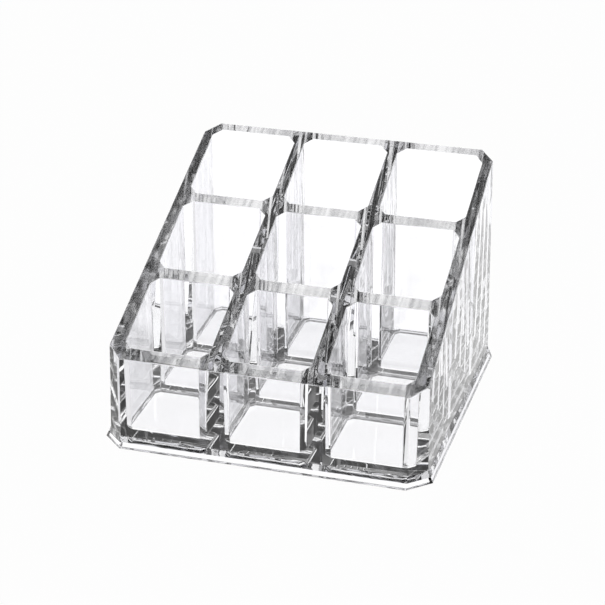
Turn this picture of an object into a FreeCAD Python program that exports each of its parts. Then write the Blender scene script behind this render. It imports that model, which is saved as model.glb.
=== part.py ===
import FreeCAD, Part
import os
import Sketcher

# Clear nine-pocket makeup brush holder: a moulded body of tapered pockets under a rim that
# slopes down to the front, with a flared foot that a foot ring continues to the table.
# Millimetres, +Z up, front is -Y. The origin is on the table, under the middle of the ring.

os.makedirs("parts", exist_ok=True)
doc = FreeCAD.newDocument("MakeupBrushHolder")

dimensions = {
    "pocket_count": 3,         # pockets along each side
    "pocket_width": 23.3,      # at the pocket floor
    "pocket_corner": 1.7,      # leg of the pocket's corner chamfers at the floor
    "pocket_draft": 1.1,       # degrees, pockets open out towards the rim
    "divider": 5.4,            # between two pockets, at the pocket floor
    "outer_wall": 5.15,        # from an outer pocket's floor edge to the top of the flare
    "body_corner": 4.7,        # leg of the body's corner chamfers at the top of the flare
    "wall_draft": 1.0,         # degrees, outer walls lean in towards the rim
    "rim_front": 26.6,         # rim plane above the table, over the front of the flare's top
    "rim_rear": 65.7,          # rim plane above the table, over the rear of the flare's top
    "floor_level": 3.9,        # pocket floor above the table
    "floor_radius": 1.0,       # fillet between pocket floor and walls
    "pocket_edge_radius": 0.4,  # rounding of the pockets' upright edges
    "rim_radius": 0.3,         # rounding of the sloping rim, outside and at the pocket mouths
    "flare": 1.5,              # how far the foot spreads past the body's walls
    "flare_height": 3.25,      # table to the top of the flare
    "flare_corner": 6.1,       # leg of the foot's corner chamfers at the table
    "ring_height": 1.7,        # table to the joint under the body
    "ring_wall": 1.4,          # thickness of the foot ring, measured level
}

sheet = doc.addObject("Spreadsheet::Sheet", "Dimensions")
for row, (alias, value) in enumerate(dimensions.items(), start=1):
    sheet.set(f"A{row}", alias)
    sheet.set(f"B{row}", str(value))
    sheet.setAlias(f"B{row}", alias)
doc.recompute()

pocket_pitch = "(Dimensions.pocket_width + Dimensions.divider)"
grid_length = f"({pocket_pitch} * (Dimensions.pocket_count - 1))"
body_width = f"({grid_length} + Dimensions.pocket_width + 2 * Dimensions.outer_wall)"
foot_width = f"({body_width} + 2 * Dimensions.flare)"
joint_share = "(Dimensions.ring_height / Dimensions.flare_height)"
joint_width = f"({foot_width} - 2 * Dimensions.flare * {joint_share})"
corner_change = "(Dimensions.flare_corner - Dimensions.body_corner)"
joint_corner = f"(Dimensions.flare_corner - {corner_change} * {joint_share})"
rim_rise = "(Dimensions.rim_rear - Dimensions.rim_front)"
same_place = 0.01  # millimetres, faces and edges this near a height lie at it


def size(alias):
    return float(sheet.get(alias))


def origin_feature(body, role):
    return next(item for item in body.Origin.OriginFeatures if item.Role == role)


def new_sketch(body, name, plane):
    sketch = body.newObject("Sketcher::SketchObject", name)
    sketch.AttachmentSupport = [(origin_feature(body, plane), "")]
    sketch.MapMode = "FlatFace"
    return sketch


def bind(sketch, name, kind, elements, value, expression):
    """Adds a named driving constraint whose value follows the sheet."""
    index = sketch.addConstraint(Sketcher.Constraint(kind, *elements, value))
    sketch.renameConstraint(index, name)
    sketch.setExpression(f"Constraints.{name}", expression)


def chamfered_square(body, name, width, corner, place):
    """Sketch on the XY plane: a square with chamfered corners, centred on the sketch origin.
    width and corner are sheet expressions and place holds the attachment offsets."""
    sketch = new_sketch(body, name, "XY_Plane")
    for axis, expression in place.items():
        sketch.setExpression(f"AttachmentOffset.Base.{axis}", expression)
    half, inner = 10.0, 8.0
    corners = [(-inner, -half), (inner, -half), (half, -inner), (half, inner),
               (inner, half), (-inner, half), (-half, inner), (-half, -inner)]
    points = [FreeCAD.Vector(x, y, 0) for x, y in corners]
    sides = len(points)
    start, end = 1, 2
    for side in range(sides):
        sketch.addGeometry(Part.LineSegment(points[side], points[(side + 1) % sides]))
    for side in range(sides):
        sketch.addConstraint(
            Sketcher.Constraint("Coincident", side, end, (side + 1) % sides, start))
    origin, x_axis, y_axis = (-1, 1), -1, -2
    for side in range(sides // 2):
        sketch.addConstraint(
            Sketcher.Constraint("Symmetric", side, start, side + sides // 2, start, *origin))
    front, right = 0, 2
    sketch.addConstraint(Sketcher.Constraint("Symmetric", front, start, front, end, y_axis))
    sketch.addConstraint(Sketcher.Constraint("Symmetric", right, start, right, end, x_axis))
    sketch.addConstraint(Sketcher.Constraint("Equal", front, right))
    bind(sketch, "flat", "Distance", (front,), 2 * inner, f"{width} - 2 * {corner}")
    bind(sketch, "half_width", "DistanceX", (*origin, right, start), half, f"{width} / 2")
    bind(sketch, "half_depth", "DistanceY", (front, start, *origin), half, f"{width} / 2")
    return sketch


def names_where(kind, items, accepts):
    """Names such as Face3 or Edge12 of the faces or edges that accepts() picks."""
    return [f"{kind}{index}" for index, item in enumerate(items, start=1) if accepts(item)]


def is_level_at(height):
    """Picks level faces at this height."""
    return lambda face: face.BoundBox.ZLength < same_place and starts_at(face, height)


def starts_at(item, height):
    return abs(item.BoundBox.ZMin - height) < same_place


def is_wall(face):
    """True for an upright face of the block or of a pocket before it is drafted."""
    return abs(face.normalAt(0, 0).z) < same_place


def is_pocket_wall(face):
    return is_wall(face) and starts_at(face, size("floor_level"))


def is_rim(face):
    """True for the sloping plane: walls are nearly upright and floors are level."""
    return isinstance(face.Surface, Part.Plane) and 0.3 < face.normalAt(0, 0).z < 0.99


def is_upright(edge):
    """True for a corner edge of a drafted wall: it climbs far more than it leans."""
    box = edge.BoundBox
    return box.ZLength > 10 * max(box.XLength, box.YLength)


def is_pocket_upright(edge):
    return is_upright(edge) and edge.BoundBox.ZMin > size("flare_height") + same_place


def lean_walls(body, name, base, accepts, foot_height, angle):
    """Drafts upright faces about the level face at foot_height."""
    draft = body.newObject("PartDesign::Draft", name)
    draft.Base = (base, names_where("Face", base.Shape.Faces, accepts))
    neutral = names_where("Face", base.Shape.Faces, is_level_at(foot_height))[0]
    draft.NeutralPlane = (base, [neutral])
    draft.setExpression("Angle", angle)
    doc.recompute()
    if draft.Shape.Volume > base.Shape.Volume:
        draft.Reversed = True
        doc.recompute()
    return draft


def round_edges(body, name, base, picked, radius):
    """Fillets the named edges, or every edge of the named faces."""
    fillet = body.newObject("PartDesign::Fillet", name)
    fillet.Base = (base, picked)
    fillet.setExpression("Radius", radius)
    doc.recompute()
    return fillet


def loft_between(body, name, kind, lower, upper):
    """Joins two outlines of the same form with flat faces."""
    loft = body.newObject(f"PartDesign::{kind}Loft", name)
    loft.Profile = lower
    loft.Sections = [upper]
    loft.Ruled = True
    doc.recompute()
    return loft


def make_foot_ring():
    body = doc.addObject("PartDesign::Body", "foot_ring")
    body.Label = "foot_ring"
    levels = {"foot": "0 mm", "joint": "Dimensions.ring_height"}
    outer = {"foot": (foot_width, "Dimensions.flare_corner"),
             "joint": (joint_width, joint_corner)}
    outlines = {}
    for level, height in levels.items():
        width, corner = outer[level]
        outlines[level] = chamfered_square(body, f"{level}_outline", width, corner,
                                           {"z": height})
        outlines[f"hollow_{level}"] = chamfered_square(
            body, f"hollow_{level}_outline", f"({width} - 2 * Dimensions.ring_wall)",
            f"({corner} - 0.586 * Dimensions.ring_wall)", {"z": height})
    block = loft_between(body, "flared_block", "Additive", outlines["foot"], outlines["joint"])
    body.Tip = loft_between(body, "ring_hollow", "Subtractive", outlines["hollow_foot"],
                            outlines["hollow_joint"])
    if body.Tip.Shape.Volume >= block.Shape.Volume:
        raise RuntimeError("the ring is not hollow")
    return body


def rim_cutter_sketch(body):
    """Side view: everything above the sloping rim line, out past the body all round."""
    sketch = new_sketch(body, "rim_slope", "YZ_Plane")
    corners = [(-60.0, 20.0), (60.0, 70.0), (60.0, 90.0), (-60.0, 90.0)]
    points = [FreeCAD.Vector(y, z, 0) for y, z in corners]
    sides = len(points)
    slope, rear, top, front = range(sides)
    start, end = 1, 2
    origin, z_axis = (-1, 1), -2
    for side in range(sides):
        sketch.addGeometry(Part.LineSegment(points[side], points[(side + 1) % sides]))
    for side in range(sides):
        sketch.addConstraint(
            Sketcher.Constraint("Coincident", side, end, (side + 1) % sides, start))
    sketch.addConstraint(Sketcher.Constraint("Vertical", rear))
    sketch.addConstraint(Sketcher.Constraint("Symmetric", top, start, top, end, z_axis))
    sketch.addConstraint(Sketcher.Constraint("Vertical", front))
    # the cutter is twice as deep as the body, so the rim line runs on by half a body each way
    bind(sketch, "reach", "DistanceY", (*origin, top, start), 90.0, "2 * Dimensions.rim_rear")
    bind(sketch, "cutter_depth", "Distance", (top,), 120.0, f"2 * {body_width}")
    bind(sketch, "rear_end", "DistanceY", (*origin, slope, end), 70.0,
         f"Dimensions.rim_rear + {rim_rise} / 2")
    bind(sketch, "front_end", "DistanceY", (*origin, slope, start), 20.0,
         f"Dimensions.rim_front - {rim_rise} / 2")
    return sketch


def make_pocket_body():
    body = doc.addObject("PartDesign::Body", "pocket_body")
    body.Label = "pocket_body"
    flare_top = chamfered_square(body, "flare_top", body_width, "Dimensions.body_corner",
                                 {"z": "Dimensions.flare_height"})
    block = body.newObject("PartDesign::Pad", "block")
    block.Profile = flare_top
    block.setExpression("Length", "Dimensions.rim_rear")
    doc.recompute()
    lean_walls(body, "leaning_outer_walls", block, is_wall, size("flare_height"),
               "Dimensions.wall_draft")
    joint = chamfered_square(body, "joint_outline", joint_width, joint_corner,
                             {"z": "Dimensions.ring_height"})
    flared_block = loft_between(body, "foot_flare", "Additive", joint, flare_top)

    rim_cut = body.newObject("PartDesign::Pocket", "rim_cut")
    rim_cut.Profile = rim_cutter_sketch(body)
    rim_cut.SideType = "Symmetric"
    rim_cut.setExpression("Length", f"2 * {body_width}")
    doc.recompute()
    if rim_cut.Shape.Volume >= flared_block.Shape.Volume:
        raise RuntimeError("the rim cut removed nothing")

    front_left = f"-{grid_length} / 2"
    cell = chamfered_square(body, "pocket_floor", "Dimensions.pocket_width",
                            "Dimensions.pocket_corner",
                            {"x": front_left, "y": front_left, "z": "Dimensions.floor_level"})
    pocket = body.newObject("PartDesign::Pocket", "front_left_pocket")
    pocket.Profile = cell
    pocket.Reversed = True
    pocket.setExpression("Length", "Dimensions.rim_rear")
    doc.recompute()

    grid = body.newObject("PartDesign::LinearPattern", "pocket_grid")
    grid.Originals = [pocket]
    grid.Direction = (cell, ["H_Axis"])
    grid.Direction2 = (cell, ["V_Axis"])
    for suffix in ("", "2"):
        setattr(grid, f"Mode{suffix}", "Extent")
        grid.setExpression(f"Occurrences{suffix}", "Dimensions.pocket_count")
        grid.setExpression(f"Length{suffix}", grid_length)
    body.Tip = grid
    doc.recompute()
    one_pocket = rim_cut.Shape.Volume - pocket.Shape.Volume
    all_pockets = rim_cut.Shape.Volume - grid.Shape.Volume
    if one_pocket < 1 or all_pockets < one_pocket * size("pocket_count") ** 2:
        raise RuntimeError("a pocket of the grid is missing")

    leaning_pockets = lean_walls(body, "leaning_pocket_walls", grid, is_pocket_wall,
                                 size("floor_level"), "Dimensions.pocket_draft")
    pocket_floors = names_where("Face", leaning_pockets.Shape.Faces,
                                is_level_at(size("floor_level")))
    floors = round_edges(body, "floor_fillets", leaning_pockets, pocket_floors,
                         "Dimensions.floor_radius")
    pocket_edges = round_edges(body, "rounded_pocket_edges", floors,
                               names_where("Edge", floors.Shape.Edges, is_pocket_upright),
                               "Dimensions.pocket_edge_radius")
    body.Tip = round_edges(body, "rounded_rim", pocket_edges,
                           names_where("Face", pocket_edges.Shape.Faces, is_rim),
                           "Dimensions.rim_radius")
    doc.recompute()
    return body


pieces = [make_foot_ring(), make_pocket_body()]
doc.recompute()

for item in doc.Objects:
    if any(word in item.State for word in ("Invalid", "Error")):
        raise RuntimeError(f"{item.Name} did not build: {item.State}")
for piece in pieces:
    shape = piece.Shape
    if shape.isNull() or not shape.isValid() or len(shape.Solids) != 1:
        raise RuntimeError(f"{piece.Label} is not one valid solid")
    shape.exportStep(f"parts/{piece.Label}.step")
    box = shape.BoundBox
    print(f"{piece.Label}: {shape.Volume:.0f} mm3, {len(shape.Faces)} faces, "
          f"{box.XLength:.2f} x {box.YLength:.2f} x {box.ZLength:.2f}, z from {box.ZMin:.2f}")
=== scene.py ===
import bpy
import bmesh
import math
from mathutils import Matrix, Vector


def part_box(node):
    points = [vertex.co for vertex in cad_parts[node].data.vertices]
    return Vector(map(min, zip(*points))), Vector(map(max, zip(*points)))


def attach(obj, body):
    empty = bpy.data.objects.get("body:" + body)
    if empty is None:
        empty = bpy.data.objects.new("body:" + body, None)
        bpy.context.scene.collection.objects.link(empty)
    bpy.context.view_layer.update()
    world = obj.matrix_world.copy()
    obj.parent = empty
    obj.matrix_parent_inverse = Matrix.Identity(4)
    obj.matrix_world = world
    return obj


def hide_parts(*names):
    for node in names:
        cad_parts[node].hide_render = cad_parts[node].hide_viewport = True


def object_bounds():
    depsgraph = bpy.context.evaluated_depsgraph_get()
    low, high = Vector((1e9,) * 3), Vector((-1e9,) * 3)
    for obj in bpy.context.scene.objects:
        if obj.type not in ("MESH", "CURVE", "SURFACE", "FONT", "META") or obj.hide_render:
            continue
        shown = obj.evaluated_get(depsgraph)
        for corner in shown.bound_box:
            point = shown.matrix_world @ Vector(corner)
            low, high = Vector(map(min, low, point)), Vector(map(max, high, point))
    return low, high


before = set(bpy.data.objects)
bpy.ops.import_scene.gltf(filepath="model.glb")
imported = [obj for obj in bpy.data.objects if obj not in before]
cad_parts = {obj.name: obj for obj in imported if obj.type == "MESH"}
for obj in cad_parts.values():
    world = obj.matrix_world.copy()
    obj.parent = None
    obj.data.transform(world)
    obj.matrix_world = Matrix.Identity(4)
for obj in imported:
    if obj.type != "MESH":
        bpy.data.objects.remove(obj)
cadLow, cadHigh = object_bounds()
mm = 0.001


# The clear brush holder stands on a white table, its low front towards -Y.

footRing = {
    "corner": 6.1 * mm,       # leg of the corner chamfers at the table
    "lean": 1.5 / 3.25,       # how far the flare comes in for each unit of height
    "cornerLean": 1.4 / 3.25,
    "wall": 1.4 * mm,
    "insetCorner": 0.586,     # how much a chamfer's leg shrinks for each unit of inset
    "film": 0.02 * mm,        # air film between ring and body
    "softEdge": 0.12 * mm,
    "edgeSteps": 3,
}


def octagon(half, corner, z):
    inner = half - corner
    flat = [(-inner, -half), (inner, -half), (half, -inner), (half, inner),
            (inner, half), (-inner, half), (-half, inner), (-half, -inner)]
    return [Vector((x, y, z)) for x, y in flat]


def makeFootRing():
    p = footRing
    low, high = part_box("foot_ring")
    top = high.z - p["film"]
    rise = top - low.z
    mesh = bmesh.new()
    rings = []
    for inset, z in ((0, low.z), (0, top), (p["wall"], top), (p["wall"], low.z)):
        climbed = z - low.z
        half = high.x - p["lean"] * climbed - inset
        corner = p["corner"] - p["cornerLean"] * climbed - p["insetCorner"] * inset
        rings.append([mesh.verts.new(point) for point in octagon(half, corner, z)])
    count = len(rings[0])
    for this, following in zip(rings, rings[1:] + rings[:1]):
        for i in range(count):
            j = (i + 1) % count
            mesh.faces.new((this[i], this[j], following[j], following[i]))
    around = [edge for edge in mesh.edges
              if abs(edge.verts[0].co.z - edge.verts[1].co.z) < rise / 2]
    bmesh.ops.bevel(mesh, geom=around, offset=p["softEdge"], segments=p["edgeSteps"],
                    profile=0.5, affect="EDGES", clamp_overlap=True)
    bmesh.ops.recalc_face_normals(mesh, faces=mesh.faces)
    data = bpy.data.meshes.new("clear_foot_ring")
    mesh.to_mesh(data)
    mesh.free()
    ring = bpy.data.objects.new("clear_foot_ring", data)
    bpy.context.scene.collection.objects.link(ring)
    return ring


# Surface effects and painted shade shared by the clear materials

def addNode(tree, kind, **inputs):
    node = tree.nodes.new(kind)
    for name, value in inputs.items():
        node.inputs[name].default_value = value
    return node


def mathNode(tree, operation, first, second=None):
    node = tree.nodes.new("ShaderNodeMath")
    node.operation = operation
    for socket, value in zip(node.inputs, (first, second)):
        if isinstance(value, bpy.types.NodeSocket):
            tree.links.new(value, socket)
        elif value is not None:
            socket.default_value = value
    return node.outputs[0]


def newGroup(name, inputs, outputs):
    group = bpy.data.node_groups.new(name, "ShaderNodeTree")
    for label, kind, value in inputs:
        socket = group.interface.new_socket(label, in_out="INPUT", socket_type=kind)
        if value is not None:
            socket.default_value = value
    for label, kind in outputs:
        group.interface.new_socket(label, in_out="OUTPUT", socket_type=kind)
    return group, group.nodes.new("NodeGroupInput"), group.nodes.new("NodeGroupOutput")


def useGroup(tree, group, **inputs):
    node = tree.nodes.new("ShaderNodeGroup")
    node.node_tree = group
    for name, value in inputs.items():
        node.inputs[name].default_value = value
    return node


def axesOf(tree, vector):
    split = tree.nodes.new("ShaderNodeSeparateXYZ")
    tree.links.new(vector, split.inputs[0])
    return split.outputs


def placeOn(tree):
    return tree.nodes.new("ShaderNodeTexCoord").outputs["Object"]


def facingOf(tree):
    return tree.nodes.new("ShaderNodeNewGeometry").outputs["Normal"]


def mixColours(tree, factor, first, second):
    mix = tree.nodes.new("ShaderNodeMix")
    mix.data_type = "RGBA"
    tree.links.new(factor, mix.inputs["Factor"])
    for socket, colour in zip((mix.inputs[6], mix.inputs[7]), (first, second)):
        if isinstance(colour, bpy.types.NodeSocket):
            tree.links.new(colour, socket)
        else:
            socket.default_value = colour
    return mix.outputs[2]


def mixShaders(tree, factor, first, second):
    mix = tree.nodes.new("ShaderNodeMixShader")
    for socket, link in zip(mix.inputs, (factor, first, second)):
        tree.links.new(link, socket)
    return mix.outputs[0]


def makeRimMask():
    # chooses the sloping rim by the lean of its surface
    group, start, end = newGroup("rimMask", [("Lean", "NodeSocketFloat", 0.918),
                                             ("Spread", "NodeSocketFloat", 0.05),
                                             ("Sharpness", "NodeSocketFloat", 3.0)],
                                 [("Mask", "NodeSocketFloat")])
    upright = mathNode(group, "ABSOLUTE", axesOf(group, facingOf(group))["Z"])
    away = mathNode(group, "ABSOLUTE", mathNode(group, "SUBTRACT", upright, start.outputs["Lean"]))
    near = mathNode(group, "SUBTRACT", 1.0,
                    mathNode(group, "DIVIDE", away, start.outputs["Spread"]))
    sharp = mathNode(group, "MULTIPLY", near, start.outputs["Sharpness"])
    sharp.node.use_clamp = True
    group.links.new(sharp, end.inputs["Mask"])
    return group


def makeMouldWaves():
    # height of the slow waves that cooling leaves in a moulded face
    group, start, end = newGroup("mouldWaves", [("Scale", "NodeSocketFloat", 100.0),
                                                ("Stretch", "NodeSocketVector", (1, 1, 1)),
                                                ("Detail", "NodeSocketFloat", 1.0),
                                                ("Roughness", "NodeSocketFloat", 0.45)],
                                 [("Height", "NodeSocketFloat")])
    stretched = group.nodes.new("ShaderNodeVectorMath")
    stretched.operation = "MULTIPLY"
    group.links.new(placeOn(group), stretched.inputs[0])
    group.links.new(start.outputs["Stretch"], stretched.inputs[1])
    noise = group.nodes.new("ShaderNodeTexNoise")
    group.links.new(stretched.outputs[0], noise.inputs["Vector"])
    for label in ("Scale", "Detail", "Roughness"):
        group.links.new(start.outputs[label], noise.inputs[label])
    group.links.new(noise.outputs[0], end.inputs["Height"])
    return group


def makeFootMask():
    # chooses the leaning faces of the foot, not the floors
    group, start, end = newGroup("footMask", [("Top", "NodeSocketFloat", 3.6 * mm),
                                              ("Lean", "NodeSocketFloat", 0.8)],
                                 [("Mask", "NodeSocketFloat")])
    upright = mathNode(group, "ABSOLUTE", axesOf(group, facingOf(group))["Z"])
    leaning = mathNode(group, "LESS_THAN", upright, start.outputs["Lean"])
    low = mathNode(group, "LESS_THAN", axesOf(group, placeOn(group))["Z"], start.outputs["Top"])
    group.links.new(mathNode(group, "MULTIPLY", leaning, low), end.inputs["Mask"])
    return group


def makeSideMask():
    # chooses the faces that look left or right, which get painted shade
    group, start, end = newGroup("sideMask", [("Least", "NodeSocketFloat", 0.9)],
                                 [("Mask", "NodeSocketFloat")])
    sideways = mathNode(group, "ABSOLUTE", axesOf(group, facingOf(group))["X"])
    chosen = mathNode(group, "GREATER_THAN", sideways, start.outputs["Least"])
    group.links.new(chosen, end.inputs["Mask"])
    return group


def makeRimWear():
    # bump streaks on the rim, painted shade that darkens the rim along its streaks and lines, and
    # the outer rims that hands roughen
    group, start, end = newGroup("rimWearAndShade", [("Mask", "NodeSocketFloat", 0.0),
                                             ("Streaks", "NodeSocketFloat", 0.5),
                                             ("Shade Lines", "NodeSocketFloat", 0.5),
                                             ("Line Contrast", "NodeSocketFloat", 1.0),
                                             ("Base Shade", "NodeSocketFloat", 0.0),
                                             ("Roughness", "NodeSocketFloat", 0.04),
                                             ("Handled Roughness", "NodeSocketFloat", 0.16),
                                             ("Handled From", "NodeSocketFloat", 34 * mm),
                                             ("Handled To", "NodeSocketFloat", 39 * mm)],
                                 [("Height", "NodeSocketFloat"), ("Shade", "NodeSocketFloat"),
                                  ("Roughness", "NodeSocketFloat")])
    mask, streaks = start.outputs["Mask"], start.outputs["Streaks"]
    height = mathNode(group, "MULTIPLY", streaks, mask)
    shadeLines = mathNode(group, "MULTIPLY", mathNode(group, "SUBTRACT", start.outputs["Shade Lines"], 0.5),
                     start.outputs["Line Contrast"])
    lined = mathNode(group, "ADD", mathNode(group, "ADD", streaks, shadeLines),
                     start.outputs["Base Shade"])
    # painted shade: how far the rim's colour is darkened
    shade = mathNode(group, "MULTIPLY", lined, mask)
    shade.node.use_clamp = True
    handled = group.nodes.new("ShaderNodeMapRange")
    outwards = mathNode(group, "ABSOLUTE", axesOf(group, placeOn(group))["X"])
    group.links.new(outwards, handled.inputs["Value"])
    for label, source in (("From Min", "Handled From"), ("From Max", "Handled To"),
                          ("To Min", "Roughness"), ("To Max", "Handled Roughness")):
        group.links.new(start.outputs[source], handled.inputs[label])
    rough = mathNode(group, "MULTIPLY", height, handled.outputs["Result"])
    for label, value in (("Height", height), ("Shade", shade), ("Roughness", rough)):
        group.links.new(value, end.inputs[label])
    return group


rimMask = makeRimMask()
sideMask = makeSideMask()
footMask = makeFootMask()
rimWearAndShade = makeRimWear()
mouldWaves = makeMouldWaves()


clearPlastic = {
    "tint": (0.985, 0.985, 0.995, 1.0),
    # painted shade: the faces that look left or right are darkened to this
    "sidePaintedShade": (0.87, 0.87, 0.9, 1.0),
    "rimPaintedShade": (0.3, 0.3, 0.31, 1.0),      # painted shade: the colour the rim is darkened towards along its streaks and lines
    "ior": 1.58,
    "walls": {"Scale": 80.0, "Stretch": (1.0, 1.0, 0.35), "Detail": 0.0},    # down the mould's draw
    "wallDepth": 0.03 * mm,
    "foot": {"Scale": 400.0, "Stretch": (0.25, 0.25, 1.6), "Detail": 1.0},   # along the foot
    "footDepth": 0.12 * mm,
    # the streaks give the rim its bumps and also steer its painted shade
    "streaks": {"Scale": 170.0, "Stretch": (1.0, 0.2, 0.2), "Detail": 0.4},  # front to rear
    "rimDepth": 0.03 * mm,
    # fine lines that are only painted shade across the rim
    "shadeLines": {"Scale": 1000.0, "Stretch": (1.0, 0.06, 0.06), "Detail": 0.5},
    # roughness of the rim, and how strongly its painted shade shows
    "wearAndShade": {"Line Contrast": 1.4, "Base Shade": 0.25, "Roughness": 0.04,
             "Handled Roughness": 0.16, "Handled From": 34 * mm, "Handled To": 39 * mm},
}


def bumpNode(tree, height, depth, below=None):
    bump = addNode(tree, "ShaderNodeBump", Distance=depth)
    tree.links.new(height, bump.inputs["Height"])
    if below is not None:
        tree.links.new(below, bump.inputs["Normal"])
    return bump.outputs["Normal"]


def makeClearPlastic(name, settings):
    material = bpy.data.materials.new(name)
    material.use_nodes = True
    tree = material.node_tree
    tree.nodes.clear()
    output = tree.nodes.new("ShaderNodeOutputMaterial")
    plastic = addNode(tree, "ShaderNodeBsdfPrincipled",
                      **{"IOR": settings["ior"], "Transmission Weight": 1.0})
    walls, bands, streaks, shadeLines = (
        useGroup(tree, mouldWaves, **settings[key]).outputs["Height"]
        for key in ("walls", "foot", "streaks", "shadeLines"))

    wearAndShade = useGroup(tree, rimWearAndShade, **settings["wearAndShade"])
    rim = useGroup(tree, rimMask).outputs["Mask"]
    for label, value in (("Mask", rim), ("Streaks", streaks), ("Shade Lines", shadeLines)):
        tree.links.new(value, wearAndShade.inputs[label])
    foot = mathNode(tree, "MULTIPLY", bands, useGroup(tree, footMask).outputs["Mask"])
    normal = bumpNode(tree, walls, settings["wallDepth"])
    normal = bumpNode(tree, foot, settings["footDepth"], normal)
    normal = bumpNode(tree, wearAndShade.outputs["Height"], settings["rimDepth"], normal)
    tree.links.new(normal, plastic.inputs["Normal"])
    tree.links.new(wearAndShade.outputs["Roughness"], plastic.inputs["Roughness"])

    # painted shade on the faces that look left or right
    side = useGroup(tree, sideMask).outputs["Mask"]
    tint = mixColours(tree, side, settings["tint"], settings["sidePaintedShade"])
    # painted shade on the rims, in the base colour
    tint = mixColours(tree, wearAndShade.outputs["Shade"], tint, settings["rimPaintedShade"])
    tree.links.new(tint, plastic.inputs["Base Color"])

    lightPath = tree.nodes.new("ShaderNodeLightPath")
    clear = tree.nodes.new("ShaderNodeBsdfTransparent")
    tree.links.new(mixShaders(tree, lightPath.outputs["Is Shadow Ray"], plastic.outputs[0],
                              clear.outputs[0]), output.inputs["Surface"])
    return material


ring = makeFootRing()
clearBody = makeClearPlastic("clearBody", clearPlastic)
clearRing = makeClearPlastic("clearRing", clearPlastic)
ring.data.materials.append(clearRing)
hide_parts("foot_ring")
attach(ring, "root")
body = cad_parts["pocket_body"]
body.data.materials.clear()
body.data.materials.append(clearBody)
print("holder: body and foot ring ready")


# Table and light

whiteTable = {
    "size": 4.0,
    "paint": (0.9, 0.9, 0.9, 1.0),
    "drop": 0.03 * mm,         # clearance under the holder
    "glow": 1.01,              # as the camera sees it
    "paintedLightUnder": 0.16,         # painted light added under the holder, seen through the plastic
    "paintedShadeBeside": -0.12,       # painted shade, taken off to its left and right
    "fade": (42 * mm, 54 * mm),
    "rearFrom": 20 * mm,       # painted light keeps the table bright in a wedge behind this
    "rearWidening": 2.0,
    "glowShare": 0.97,         # the rest is paint, which holds the holder's shadow
}


def makeTable():
    p = whiteTable
    data = bpy.data.meshes.new("white_table")
    size = p["size"]
    data.from_pydata([(-size, -size, 0), (size, -size, 0), (size, size, 0), (-size, size, 0)],
                     [], [(0, 1, 2, 3)])
    table = bpy.data.objects.new("white_table", data)
    bpy.context.scene.collection.objects.link(table)
    table.location.z = cadLow.z - p["drop"]
    material = bpy.data.materials.new("whiteTable")
    material.use_nodes = True
    tree = material.node_tree
    tree.nodes.clear()
    output = tree.nodes.new("ShaderNodeOutputMaterial")
    paint = tree.nodes.new("ShaderNodeBsdfDiffuse")
    paint.inputs["Color"].default_value = p["paint"]
    glow = tree.nodes.new("ShaderNodeEmission")
    lightPath = tree.nodes.new("ShaderNodeLightPath")
    through = mathNode(tree, "MAXIMUM", lightPath.outputs["Is Glossy Ray"],
                       lightPath.outputs["Is Transmission Ray"])
    seen = mathNode(tree, "MAXIMUM", lightPath.outputs["Is Camera Ray"], through)
    across, along, _ = axesOf(tree, placeOn(tree))
    behind = mathNode(tree, "MAXIMUM", mathNode(tree, "SUBTRACT", along, p["rearFrom"]), 0.0)
    beside = mathNode(tree, "SUBTRACT", mathNode(tree, "ABSOLUTE", across),
                      mathNode(tree, "MULTIPLY", behind, p["rearWidening"]))
    nearest, furthest = p["fade"]
    # painted light under the holder and painted shade beside it, as seen through the plastic
    paintedLightGain = addNode(tree, "ShaderNodeMapRange", **{"From Min": nearest, "From Max": furthest,
                                                  "To Min": p["paintedLightUnder"],
                                                  "To Max": p["paintedShadeBeside"]})
    tree.links.new(beside, paintedLightGain.inputs["Value"])
    strength = mathNode(tree, "ADD", mathNode(tree, "MULTIPLY", through, paintedLightGain.outputs["Result"]),
                        p["glow"])
    tree.links.new(strength, glow.inputs["Strength"])
    share = mathNode(tree, "MULTIPLY", seen, p["glowShare"])
    tree.links.new(mixShaders(tree, share, paint.outputs[0], glow.outputs[0]),
                   output.inputs["Surface"])
    data.materials.append(material)


studioLight = {
    # sine of the elevation, and brightness
    "ring": [(0.0, 0.0), (0.6, 0.01), (0.74, 0.35), (0.88, 0.35), (0.94, 0.0)],
    "panels": [  # bearing from +X, elevation, half width, half height in degrees; brightness
        ("rearLight", 98, 39, 42, 8, 0.95),
        ("leftLight", 205, 55, 40, 9, 0.4),
        ("frontLight", 330, 50, 30, 14, 0.4),
    ],
    "softness": 8.0,   # degrees
}


def makeSoftPanel():
    # a soft-edged light panel as seen from the object
    group, start, end = newGroup("softPanel", [("Direction", "NodeSocketVector", None),
                                               ("Bearing", "NodeSocketFloat", 0.0),
                                               ("Elevation", "NodeSocketFloat", 0.0),
                                               ("Half Width", "NodeSocketFloat", 0.5),
                                               ("Half Height", "NodeSocketFloat", 0.2),
                                               ("Softness", "NodeSocketFloat", 0.1)],
                                 [("Mask", "NodeSocketFloat")])
    facing = group.nodes.new("ShaderNodeVectorRotate")
    facing.rotation_type = "Z_AXIS"
    group.links.new(start.outputs["Direction"], facing.inputs["Vector"])
    group.links.new(mathNode(group, "MULTIPLY", start.outputs["Bearing"], -1.0),
                    facing.inputs["Angle"])
    ahead, aside, up = axesOf(group, facing.outputs[0])
    across = mathNode(group, "ABSOLUTE", mathNode(group, "ARCTAN2", aside, ahead))
    above = mathNode(group, "SUBTRACT", mathNode(group, "ARCSINE", up), start.outputs["Elevation"])
    away = mathNode(group, "ABSOLUTE", above)
    masks = []
    for angle, half in ((across, "Half Width"), (away, "Half Height")):
        edge = mathNode(group, "DIVIDE", mathNode(group, "SUBTRACT", start.outputs[half], angle),
                        start.outputs["Softness"])
        inside = mathNode(group, "ADD", edge, 0.5)
        inside.node.use_clamp = True
        masks.append(inside)
    group.links.new(mathNode(group, "MULTIPLY", *masks), end.inputs["Mask"])
    return group


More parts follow.
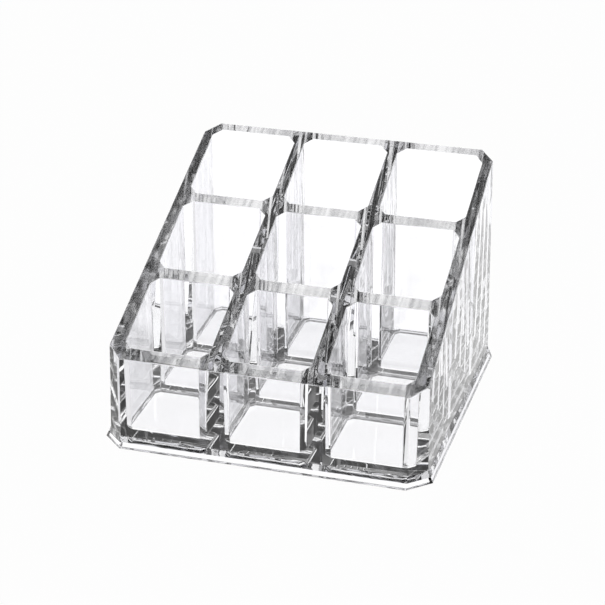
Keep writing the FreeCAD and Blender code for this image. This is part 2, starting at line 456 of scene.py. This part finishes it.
def makeWorld():
    p = studioLight
    world = bpy.data.worlds.new("studio")
    bpy.context.scene.world = world
    world.use_nodes = True
    tree = world.node_tree
    tree.nodes.clear()
    output = tree.nodes.new("ShaderNodeOutputWorld")
    direction = tree.nodes.new("ShaderNodeTexCoord").outputs["Generated"]
    ramp = tree.nodes.new("ShaderNodeValToRGB")
    first, last = p["ring"][0], p["ring"][-1]
    stops = ramp.color_ramp.elements
    for stop, (height, shade) in zip(stops, (first, last)):
        stop.position = height
        stop.color = (shade, shade, shade, 1)
    for height, shade in p["ring"][1:-1]:
        stops.new(height).color = (shade, shade, shade, 1)
    tree.links.new(axesOf(tree, direction)["Z"], ramp.inputs[0])
    light = ramp.outputs[0]
    softPanel = makeSoftPanel()
    labels = ("Bearing", "Elevation", "Half Width", "Half Height", "Softness")
    for name, *angles, brightness in p["panels"]:
        radians = (math.radians(angle) for angle in (*angles, p["softness"]))
        panel = useGroup(tree, softPanel, **dict(zip(labels, radians)))
        panel.name = name
        tree.links.new(direction, panel.inputs["Direction"])
        lit = mathNode(tree, "MULTIPLY", panel.outputs["Mask"], brightness)
        light = mathNode(tree, "MAXIMUM", light, lit)
    sky = tree.nodes.new("ShaderNodeBackground")
    tree.links.new(light, sky.inputs["Color"])
    tree.links.new(sky.outputs[0], output.inputs["Surface"])


studioCamera = {
    "azimuth": 16.03,      # degrees to the right of the front
    "elevation": 24.24,
    "roll": 0.366,
    "place": (0.13909, -0.48984, 0.25878),
    "focalPixels": 1945.2,
    "imageWidth": 605,
    "sensorWidth": 36.0,
    "clip": (0.01, 50),
}


def makeCamera():
    p = studioCamera
    azimuth, elevation, roll = (math.radians(p[key]) for key in ("azimuth", "elevation", "roll"))
    back = Vector((math.sin(azimuth) * math.cos(elevation),
                   -math.cos(azimuth) * math.cos(elevation),
                   math.sin(elevation)))
    right = Vector((0, 0, 1)).cross(back).normalized()
    up = back.cross(right)
    rolledRight = math.cos(roll) * right + math.sin(roll) * up
    rolledUp = -math.sin(roll) * right + math.cos(roll) * up
    turn = Matrix((rolledRight, rolledUp, back)).transposed()
    data = bpy.data.cameras.new("studioCamera")
    data.sensor_width = p["sensorWidth"]
    data.lens = p["focalPixels"] * p["sensorWidth"] / p["imageWidth"]
    data.clip_start, data.clip_end = p["clip"]
    camera = bpy.data.objects.new("studioCamera", data)
    bpy.context.scene.collection.objects.link(camera)
    camera.matrix_world = Matrix.Translation(p["place"]) @ turn.to_4x4()
    bpy.context.scene.camera = camera


makeTable()
makeWorld()
makeCamera()
scene = bpy.context.scene
scene.view_settings.view_transform = "Standard"
bounces = 40
for limit in ("max_bounces", "transmission_bounces", "glossy_bounces", "transparent_max_bounces"):
    setattr(scene.cycles, limit, bounces)
print("studio: table, light and camera ready")
